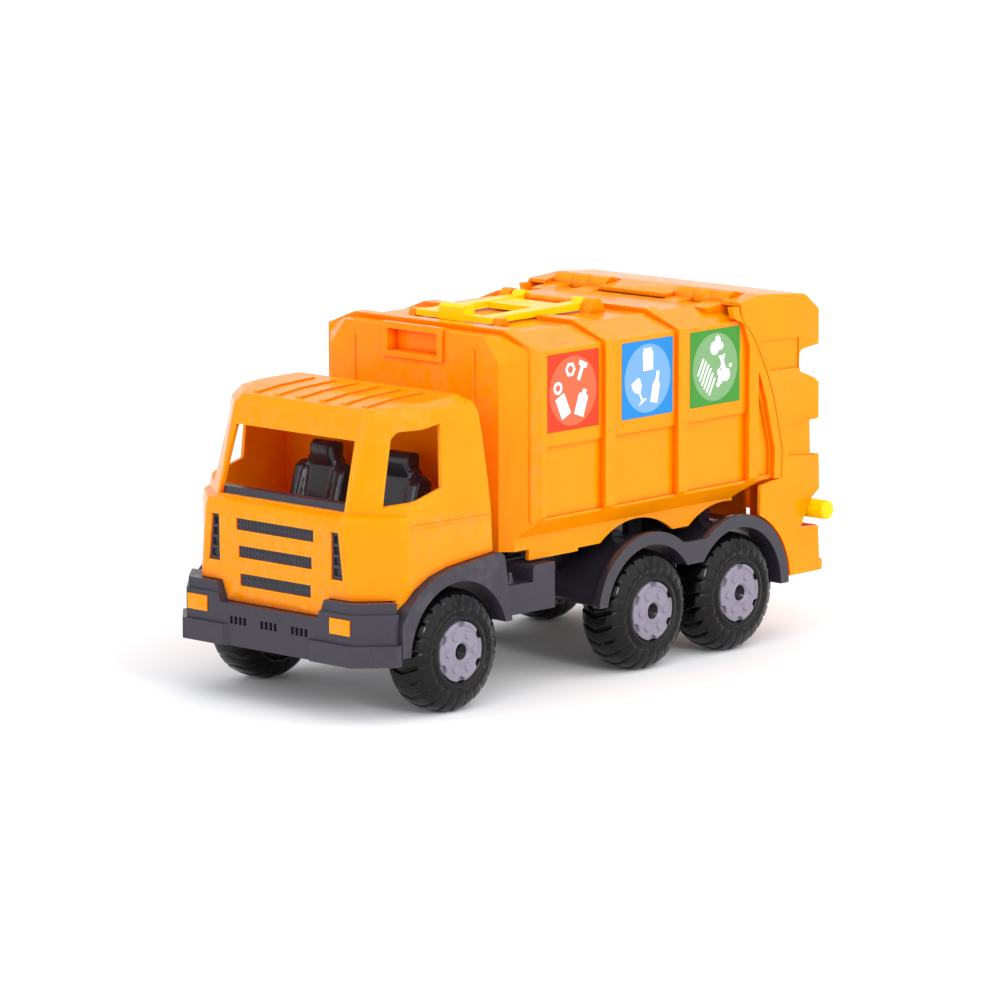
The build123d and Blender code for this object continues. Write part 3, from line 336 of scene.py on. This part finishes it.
def circle_points(first, second, radius, count):
    """Points around a circle about the given middle."""
    angles = [2 * math.pi * i / count for i in range(count)]
    return [(first + radius * math.cos(a), second + radius * math.sin(a)) for a in angles]


# ---------------------------------------------------------------- tyres

TREAD_LUGS = 24
LUG_STEPS = 14
ROUND_STEPS = TREAD_LUGS * LUG_STEPS
CHEVRON = 3.6                # lean of the lugs over half the tread, in radians of their spacing
SHOULDER_LEAN = CHEVRON * 0.72      # their lean where the tread meets the shoulder
TREAD_DEPTH = 1.9 * MM       # the tread reaches this far below the tyre's outside
SHOULDER_DEPTH = 8.0 * MM
DASH_BAND = (13.6 * MM, 9.6 * MM)   # where the wall's dashes lie, below the tyre's outside
TREAD_GROOVE = 2.0 * MM
SHOULDER_GROOVE = 1.1 * MM
WALL_DASH = 0.3 * MM
CROWN = 0.8 * MM             # how much the tread falls away towards the shoulders
TREAD_STEPS = 20
GROOVE_STEEPNESS = 4.0


def tyre_profile(half_width, outer_r, inner_r):
    """Section of the tyre from the inner bead over the tread to the outer bead, as (x, r)."""
    wall = [
        (half_width - 6.0 * MM, inner_r + 0.1 * MM),
        (half_width - 1.4 * MM, inner_r + 0.3 * MM),
        (half_width - 0.4 * MM, inner_r + 1.8 * MM),
        (half_width - 0.3 * MM, inner_r + 3.6 * MM),
        (half_width - 1.7 * MM, inner_r + 4.4 * MM),
        (half_width - 1.6 * MM, inner_r + 5.4 * MM),
        (half_width - 0.5 * MM, inner_r + 6.2 * MM),
        (half_width - 0.1 * MM, inner_r + 7.2 * MM),
        (half_width - 0.2 * MM, inner_r + 8.8 * MM),
        (half_width - 0.4 * MM, inner_r + 9.8 * MM),
        (half_width - 1.0 * MM, inner_r + 11.0 * MM),
        (half_width - 1.6 * MM, inner_r + 13.0 * MM),
        (half_width - 2.6 * MM, inner_r + 15.0 * MM),
        (half_width - 3.9 * MM, inner_r + 16.6 * MM),
        (half_width - 5.6 * MM, outer_r - 1.7 * MM),
        (half_width - 7.6 * MM, outer_r - CROWN),
    ]
    shoulder = wall[-1][0]
    tread = []
    for step in range(1, TREAD_STEPS):
        x = shoulder * (1 - 2 * step / TREAD_STEPS)
        tread.append((x, outer_r - CROWN * (x / shoulder) ** 2))
    return wall + tread + [(-x, r) for x, r in reversed(wall)]


def pulse(turn, lean, share):
    """A smooth-sided wave around the tyre, 1 over that share of each lug's spacing, else 0."""
    wave = math.cos(TREAD_LUGS * turn + lean)
    return max(0.0, min(1.0, (wave - math.cos(math.pi * share)) * GROOVE_STEEPNESS + 0.5))


def groove_depth(x, r, turn, half_width, outer_r):
    """Groove depth: chevrons on the tread, slots on the shoulders, dashes on the wall."""
    lean = CHEVRON * abs(x) / half_width
    if r > outer_r - TREAD_DEPTH:
        return TREAD_GROOVE * pulse(turn, lean, 0.2)
    if r > outer_r - SHOULDER_DEPTH:
        fade = (r - (outer_r - SHOULDER_DEPTH)) / (SHOULDER_DEPTH - TREAD_DEPTH)
        return SHOULDER_GROOVE * (0.4 + 0.6 * fade) * pulse(turn, SHOULDER_LEAN, 0.18)
    if outer_r - DASH_BAND[0] < r < outer_r - DASH_BAND[1]:
        return WALL_DASH * (1.0 - pulse(turn, SHOULDER_LEAN + math.pi, 0.62))
    return 0.0


def tyre_mesh():
    """One tyre about the X axis, with its outer side towards +X."""
    _, half = centre_of("front_tyre_left")
    _, hub_half = centre_of("front_hub_left")
    profile = tyre_profile(half.x, half.z, hub_half.z)
    mesh = bmesh.new()
    rings = []
    for step in range(ROUND_STEPS):
        turn = 2 * math.pi * step / ROUND_STEPS
        ring = []
        for x, r in profile:
            deep = groove_depth(x, r, turn, half.x, half.z)
            reach = max(0.0, min(1.0, (r / half.z - 0.75) * 6.0))
            radius = r - deep * reach
            inset = x - math.copysign(deep * (1.0 - reach), x)
            ring.append(mesh.verts.new((inset, radius * math.cos(turn), radius * math.sin(turn))))
        rings.append(ring)
    for here, there in zip(rings, rings[1:] + rings[:1]):
        for i in range(len(profile)):
            j = (i + 1) % len(profile)
            mesh.faces.new((here[i], here[j], there[j], there[i]))
    bmesh.ops.recalc_face_normals(mesh, faces=mesh.faces)
    data = bpy.data.meshes.new("tyre")
    mesh.to_mesh(data)
    mesh.free()
    for face in data.polygons:
        face.use_smooth = True
    return data


shared_tyre = tyre_mesh()
for axle in AXLES:
    for side, sign in SIDES.items():
        node = f"{axle}_tyre_{side}"
        middle, _ = centre_of(node)
        tyre = bpy.data.objects.new(f"treaded_{node}", shared_tyre)
        bpy.context.scene.collection.objects.link(tyre)
        tyre.location = middle
        if sign < 0:
            tyre.rotation_euler = (0, 0, math.pi)
        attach(tyre, f"{axle}_wheelset")
        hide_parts(node)
shared_tyre.materials.append(tyre_black)


# ---------------------------------------------------------------- painted shade: black cups in the hubs' bores

BORE_STEPS = 32
BORE_R = 4.55 * MM
BORE_LIP = 0.3 * MM
BORE_SET_BACK = 1.6 * MM     # from the hub's outermost face to the mouth of the bore


def bore_mesh(name, depth):
    """A thin round cup about the X axis, closed at its inner end and open towards +X."""
    mesh = bmesh.new()
    profile = [
        (0.0, BORE_R * 0.7),
        (BORE_LIP, BORE_R),
        (depth, BORE_R),
        (depth, BORE_R + BORE_LIP),
    ]
    rings = []
    for x, r in profile:
        ring = circle_points(0.0, 0.0, r, BORE_STEPS)
        rings.append([mesh.verts.new((x, y, z)) for y, z in ring])
    mesh.faces.new(list(reversed(rings[0])))
    for inner, outer in zip(rings, rings[1:]):
        for i in range(BORE_STEPS):
            j = (i + 1) % BORE_STEPS
            mesh.faces.new((inner[i], inner[j], outer[j], outer[i]))
    data = bpy.data.meshes.new(name)
    mesh.to_mesh(data)
    mesh.free()
    for face in data.polygons:
        face.use_smooth = True
    return data


# Painted shade: a black cup lines each hub's bore, so the hole reads dark as a deep hole in shade
# does
for axle in AXLES:
    axle_low, axle_high = (Vector(corner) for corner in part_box(f"{axle}_axle"))
    for side, sign in SIDES.items():
        hub_low, hub_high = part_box(f"{axle}_hub_{side}")
        start = axle_high.x + 0.1 * MM
        face_x = max(abs(hub_low[0]), abs(hub_high[0])) - BORE_SET_BACK
        data = bore_mesh(f"bore_{axle}_{side}", face_x - start)
        bore = add_piece(f"hub_bore_shade_{axle}_{side}", data, tyre_black, f"{axle}_wheelset")
        middle = (axle_low + axle_high) / 2
        bore.location = (sign * start, middle.y, middle.z)
        if sign < 0:
            bore.rotation_euler = (0, 0, math.pi)


# ---------------------------------------------------------------- side labels

LABEL_LIFT = 0.06 * MM


def flat_shape(mesh, outline, depth):
    """A filled outline of (y, z) points on the label, standing out by depth along X."""
    front = [mesh.verts.new((depth, y, z)) for y, z in outline]
    mesh.faces.new(front)
    back = [mesh.verts.new((0.0, y, z)) for y, z in outline]
    for i in range(len(outline)):
        j = (i + 1) % len(outline)
        mesh.faces.new((front[j], front[i], back[i], back[j]))


def bar_points(width, height):
    """Corners of an upright rectangle about the origin."""
    y, z = width / 2, height / 2
    return [(-y, -z), (y, -z), (y, z), (-y, z)]


def turned(outline, degrees, shift=(0.0, 0.0)):
    """The outline turned about its origin, then moved."""
    c, s = math.cos(math.radians(degrees)), math.sin(math.radians(degrees))
    return [(y * c - z * s + shift[0], y * s + z * c + shift[1]) for y, z in outline]


def mirrored_profile(half):
    """Close a right-hand half outline by its mirror image in the vertical."""
    return half + [(-y, z) for y, z in reversed(half) if y > 0.001]


# The labels' drawings, in units of DRAWING_SCALE millimetres
BOTTLE = mirrored_profile(
    [(0.1, -6.0), (1.9, -6.0), (1.9, 0.4), (0.8, 2.4), (0.8, 5.4), (0.1, 5.4)]
)
JAR = mirrored_profile([(0.1, -3.8), (2.6, -3.8), (2.8, 2.4), (2.2, 3.2), (2.2, 4.2), (0.1, 4.2)])
GLASS = mirrored_profile(
    [
        (0.1, -4.6), (2.2, -4.6), (2.0, -4.1), (0.4, -3.6), (0.4, -0.6),
        (2.2, 1.0), (2.5, 3.4), (2.1, 4.6), (0.1, 4.6),
    ]
)
BOLT = mirrored_profile([(0.1, -3.4), (0.8, -3.4), (0.8, 1.4), (2.2, 1.8), (2.2, 3.4), (0.1, 3.4)])
TIN = mirrored_profile([(0.1, -4.6), (2.5, -4.6), (2.5, 3.6), (0.1, 3.6)])
FLASK = mirrored_profile([(0.1, -4.8), (2.5, -4.8), (2.5, 2.6), (1.0, 3.4), (1.0, 4.8), (0.1, 4.8)])
FRUIT = mirrored_profile(
    [
        (0.1, -3.4), (1.6, -3.0), (2.6, -1.2), (2.0, 0.8),
        (3.0, 1.8), (2.6, 3.2), (1.2, 3.6), (0.1, 3.0),
    ]
)
APPLE_CORE = mirrored_profile(
    [(0.1, -2.4), (1.9, -2.8), (0.9, -0.7), (0.9, 0.7), (1.9, 2.8), (0.1, 2.4)]
)


def ring_shapes(y, z, outer_r, inner_r, count):
    """A ring as separate wedges."""
    outer = circle_points(y, z, outer_r, count)
    inner = circle_points(y, z, inner_r, count)
    return [
        [outer[i], outer[(i + 1) % count], inner[(i + 1) % count], inner[i]]
        for i in range(count)
    ]


def red_drawings():
    """Scrap metal: a nut, a bolt, a tin with its lid up and a flask."""
    shapes = ring_shapes(-1.4, 7.6, 2.7, 1.5, 6)
    shapes.append(turned(BOLT, -24, (4.2, 6.6)))
    shapes.append(turned(TIN, 26, (-5.4, -4.6)))
    shapes.extend(ring_shapes(-7.9, 1.6, 2.3, 1.2, 18))
    shapes.append(turned(FLASK, -20, (4.6, -4.6)))
    return shapes


def blue_drawings():
    """Glass: a jar above, a wine glass and a bottle below."""
    shapes = [turned(JAR, 2, (0.2, 6.6)), turned(GLASS, 28, (-4.6, -4.4))]
    shapes.append(turned(BOTTLE, -12, (4.6, -3.2)))
    return shapes


def green_drawings():
    """Kitchen scraps: a fruit, a peel cut in strips and an apple core with pips."""
    shapes = [turned(FRUIT, -56, (0.4, 7.4))]
    for strip in range(6):
        reach = 3.4 + 0.7 * math.sin(math.pi * strip / 5)
        place = (-8.0 + 1.25 * strip, 0.6 - 1.5 * strip)
        shapes.append(turned(bar_points(2 * reach, 0.9), 62, place))
    shapes.append(turned(APPLE_CORE, 8, (4.0, 1.4)))
    shapes.append(turned(FRUIT, 96, (4.8, -3.4)))
    shapes.append(circle_points(1.6, -6.6, 1.0, 12))
    shapes.append(circle_points(8.4, -0.2, 0.8, 12))
    return shapes


DRAWINGS = {"red": red_drawings(), "blue": blue_drawings(), "green": green_drawings()}
DISC_R = 21.6
DRAWING_SCALE = 1.75
SHEET_HALF = 24.0
SHEET_CORNER = 0.6


def label_mesh(name, outlines, sign, depth):
    """Flat shapes for a label on the chosen side; each outline is in millimetres."""
    mesh = bmesh.new()
    for outline in outlines:
        flat_shape(mesh, [(sign * y * MM, z * MM) for y, z in outline], sign * depth)
    bmesh.ops.recalc_face_normals(mesh, faces=mesh.faces)
    data = bpy.data.meshes.new(name)
    mesh.to_mesh(data)
    mesh.free()
    return data


corner = [
    (-SHEET_HALF, -SHEET_HALF + SHEET_CORNER),
    (-SHEET_HALF + SHEET_CORNER, -SHEET_HALF),
]
lower_half = corner + [(-y, z) for y, z in reversed(corner)]
sheet = lower_half + [(-y, -z) for y, z in lower_half]

for colour in STICKER_COLOURS:
    for side, sign in SIDES.items():
        node = f"sticker_{colour}_{side}"
        middle, half = centre_of(node)
        face = middle + Vector((sign * (half.x - 3 * LABEL_LIFT), 0, 0))
        drawings = [
            [(y * DRAWING_SCALE, z * DRAWING_SCALE) for y, z in outline]
            for outline in DRAWINGS[colour]
        ]
        layers = (
            ("sheet", [sheet], border_ink[colour], 1),
            ("disc", [circle_points(0, 0, DISC_R, 64)], disc_ink[colour], 2),
            ("drawings", drawings, white_ink, 3),
        )
        for layer, outlines, material, lift in layers:
            data = label_mesh(f"{node}_{layer}", outlines, sign, lift * LABEL_LIFT)
            piece = add_piece(f"label_{colour}_{side}_{layer}", data, material, "truck")
            piece.location = face
            if layer == "sheet":
                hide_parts(node)


# ---------------------------------------------------------------- perforated grille strips

HOLE_COLUMNS = 22
HOLE_ROWS = 2
HOLE_SIDES = 12
HOLE_SHARE = 0.36            # radius of a hole, as a share of its cell's shorter side


def perforated_strip(name, low, high):
    """A thin plate with rows of round holes, facing -Y, between two corners."""
    mesh = bmesh.new()
    cell_x = (high.x - low.x) / HOLE_COLUMNS
    cell_z = (high.z - low.z) / HOLE_ROWS
    hole_r = HOLE_SHARE * min(cell_x, cell_z)
    for column in range(HOLE_COLUMNS):
        for row in range(HOLE_ROWS):
            x = low.x + (column + 0.5) * cell_x
            z = low.z + (row + 0.5) * cell_z
            cell_edge = []
            for i in range(HOLE_SIDES):
                angle = 2 * math.pi * i / HOLE_SIDES
                across, up = math.cos(angle), math.sin(angle)
                reach = 0.5 / max(abs(across), abs(up))
                cell_edge.append((x + reach * cell_x * across, z + reach * cell_z * up))
            hole = circle_points(x, z, hole_r, HOLE_SIDES)
            outer = [mesh.verts.new((px, low.y, pz)) for px, pz in cell_edge]
            rim = [mesh.verts.new((px, low.y, pz)) for px, pz in hole]
            deep = [mesh.verts.new((px, high.y, pz)) for px, pz in hole]
            for i in range(HOLE_SIDES):
                j = (i + 1) % HOLE_SIDES
                mesh.faces.new((outer[i], outer[j], rim[j], rim[i]))
                mesh.faces.new((rim[i], rim[j], deep[j], deep[i]))
    bmesh.ops.remove_doubles(mesh, verts=mesh.verts, dist=0.00002)
    data = bpy.data.meshes.new(name)
    mesh.to_mesh(data)
    mesh.free()
    return data


# Lower edge, upper edge and half width of each strip, in millimetres
GRILLE_STRIPS = ((106.9, 113.6, 32.1), (90.4, 97.1, 30.6), (72.9, 79.6, 29.6))
grille_low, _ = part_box("grille_insert")
for index, (strip_low, strip_high, strip_half) in enumerate(GRILLE_STRIPS):
    low = Vector((-strip_half * MM, grille_low[1] - 0.5 * MM, strip_low * MM))
    high = Vector((strip_half * MM, grille_low[1] - 0.02 * MM, strip_high * MM))
    data = perforated_strip(f"grille_strip_{index}", low, high)
    strip = add_piece(f"grille_strip_{index}", data, dark_grey, "truck")


# ---------------------------------------------------------------- stage, lights and camera

FLOOR_SIZE = 80


def floor_mesh():
    """A wide flat floor."""
    mesh = bmesh.new()
    corners = bar_points(FLOOR_SIZE, FLOOR_SIZE)
    mesh.faces.new([mesh.verts.new((x, y, 0.0)) for x, y in corners])
    data = bpy.data.meshes.new("floor")
    mesh.to_mesh(data)
    mesh.free()
    return data


floor = bpy.data.objects.new("floor", floor_mesh())
bpy.context.scene.collection.objects.link(floor)
floor_paper, _, floor_shader = new_material("white_paper")
floor_shader.inputs["Base Color"].default_value = (0.9, 0.9, 0.91, 1.0)
floor_shader.inputs["Roughness"].default_value = 0.7
floor_shader.inputs["Specular IOR Level"].default_value = 0.2
floor.data.materials.append(floor_paper)

world = bpy.data.worlds.new("studio")
world.use_nodes = True
world.node_tree.nodes["Background"].inputs["Color"].default_value = (0.97, 0.98, 1.0, 1.0)
world.node_tree.nodes["Background"].inputs["Strength"].default_value = 0.9
bpy.context.scene.world = world


def sun(name, direction, strength, softness):
    """Soft light from a direction, the same everywhere on the floor."""
    lamp = bpy.data.lights.new(name, "SUN")
    lamp.energy = strength
    lamp.angle = math.radians(softness)
    holder = bpy.data.objects.new(name, lamp)
    holder.rotation_euler = Vector(direction).to_track_quat("Z", "Y").to_euler()
    bpy.context.scene.collection.objects.link(holder)


def softbox(name, place, aim, size, power):
    """Square studio light."""
    lamp = bpy.data.lights.new(name, "AREA")
    lamp.shape = "RECTANGLE"
    lamp.size, lamp.size_y = size
    lamp.energy = power
    holder = bpy.data.objects.new(name, lamp)
    holder.location = place
    holder.rotation_euler = (Vector(place) - Vector(aim)).to_track_quat("Z", "Y").to_euler()
    bpy.context.scene.collection.objects.link(holder)


sun("top_light", (1.0, -0.1, 0.9), 1.7, 90)
sun("fill_light", (-0.4, -1.0, 0.55), 0.65, 40)
softbox("side_softbox", (2.2, -0.9, 1.3), (0, 0, 0.12), (0.3, 0.7), 14)
softbox("front_softbox", (0.4, -2.6, 0.9), (0, -0.1, 0.1), (0.4, 0.6), 4)

# The camera looks at the truck from its front left corner, from a little above.
AZIMUTH = math.radians(42.59)
ELEVATION = math.radians(9.74)
ROLL = math.radians(-0.05)
DISTANCE = 3.6086
AIM = Vector((0.0, 0.0006, 0.1032))
LENS = 206.55
towards_camera = Vector(
    (
        math.sin(AZIMUTH) * math.cos(ELEVATION),
        -math.cos(AZIMUTH) * math.cos(ELEVATION),
        math.sin(ELEVATION),
    )
)
camera_data = bpy.data.cameras.new("photo_view")
camera_data.lens = LENS
camera_data.sensor_width = 36.0
camera_data.clip_end = 200.0
camera = bpy.data.objects.new("photo_view", camera_data)
look = towards_camera.to_track_quat("Z", "Y").to_matrix() @ Matrix.Rotation(ROLL, 3, "Z")
camera.matrix_world = Matrix.Translation(AIM + towards_camera * DISTANCE) @ look.to_4x4()
bpy.context.scene.collection.objects.link(camera)
bpy.context.scene.camera = camera
bpy.context.scene.view_settings.view_transform = "Standard"
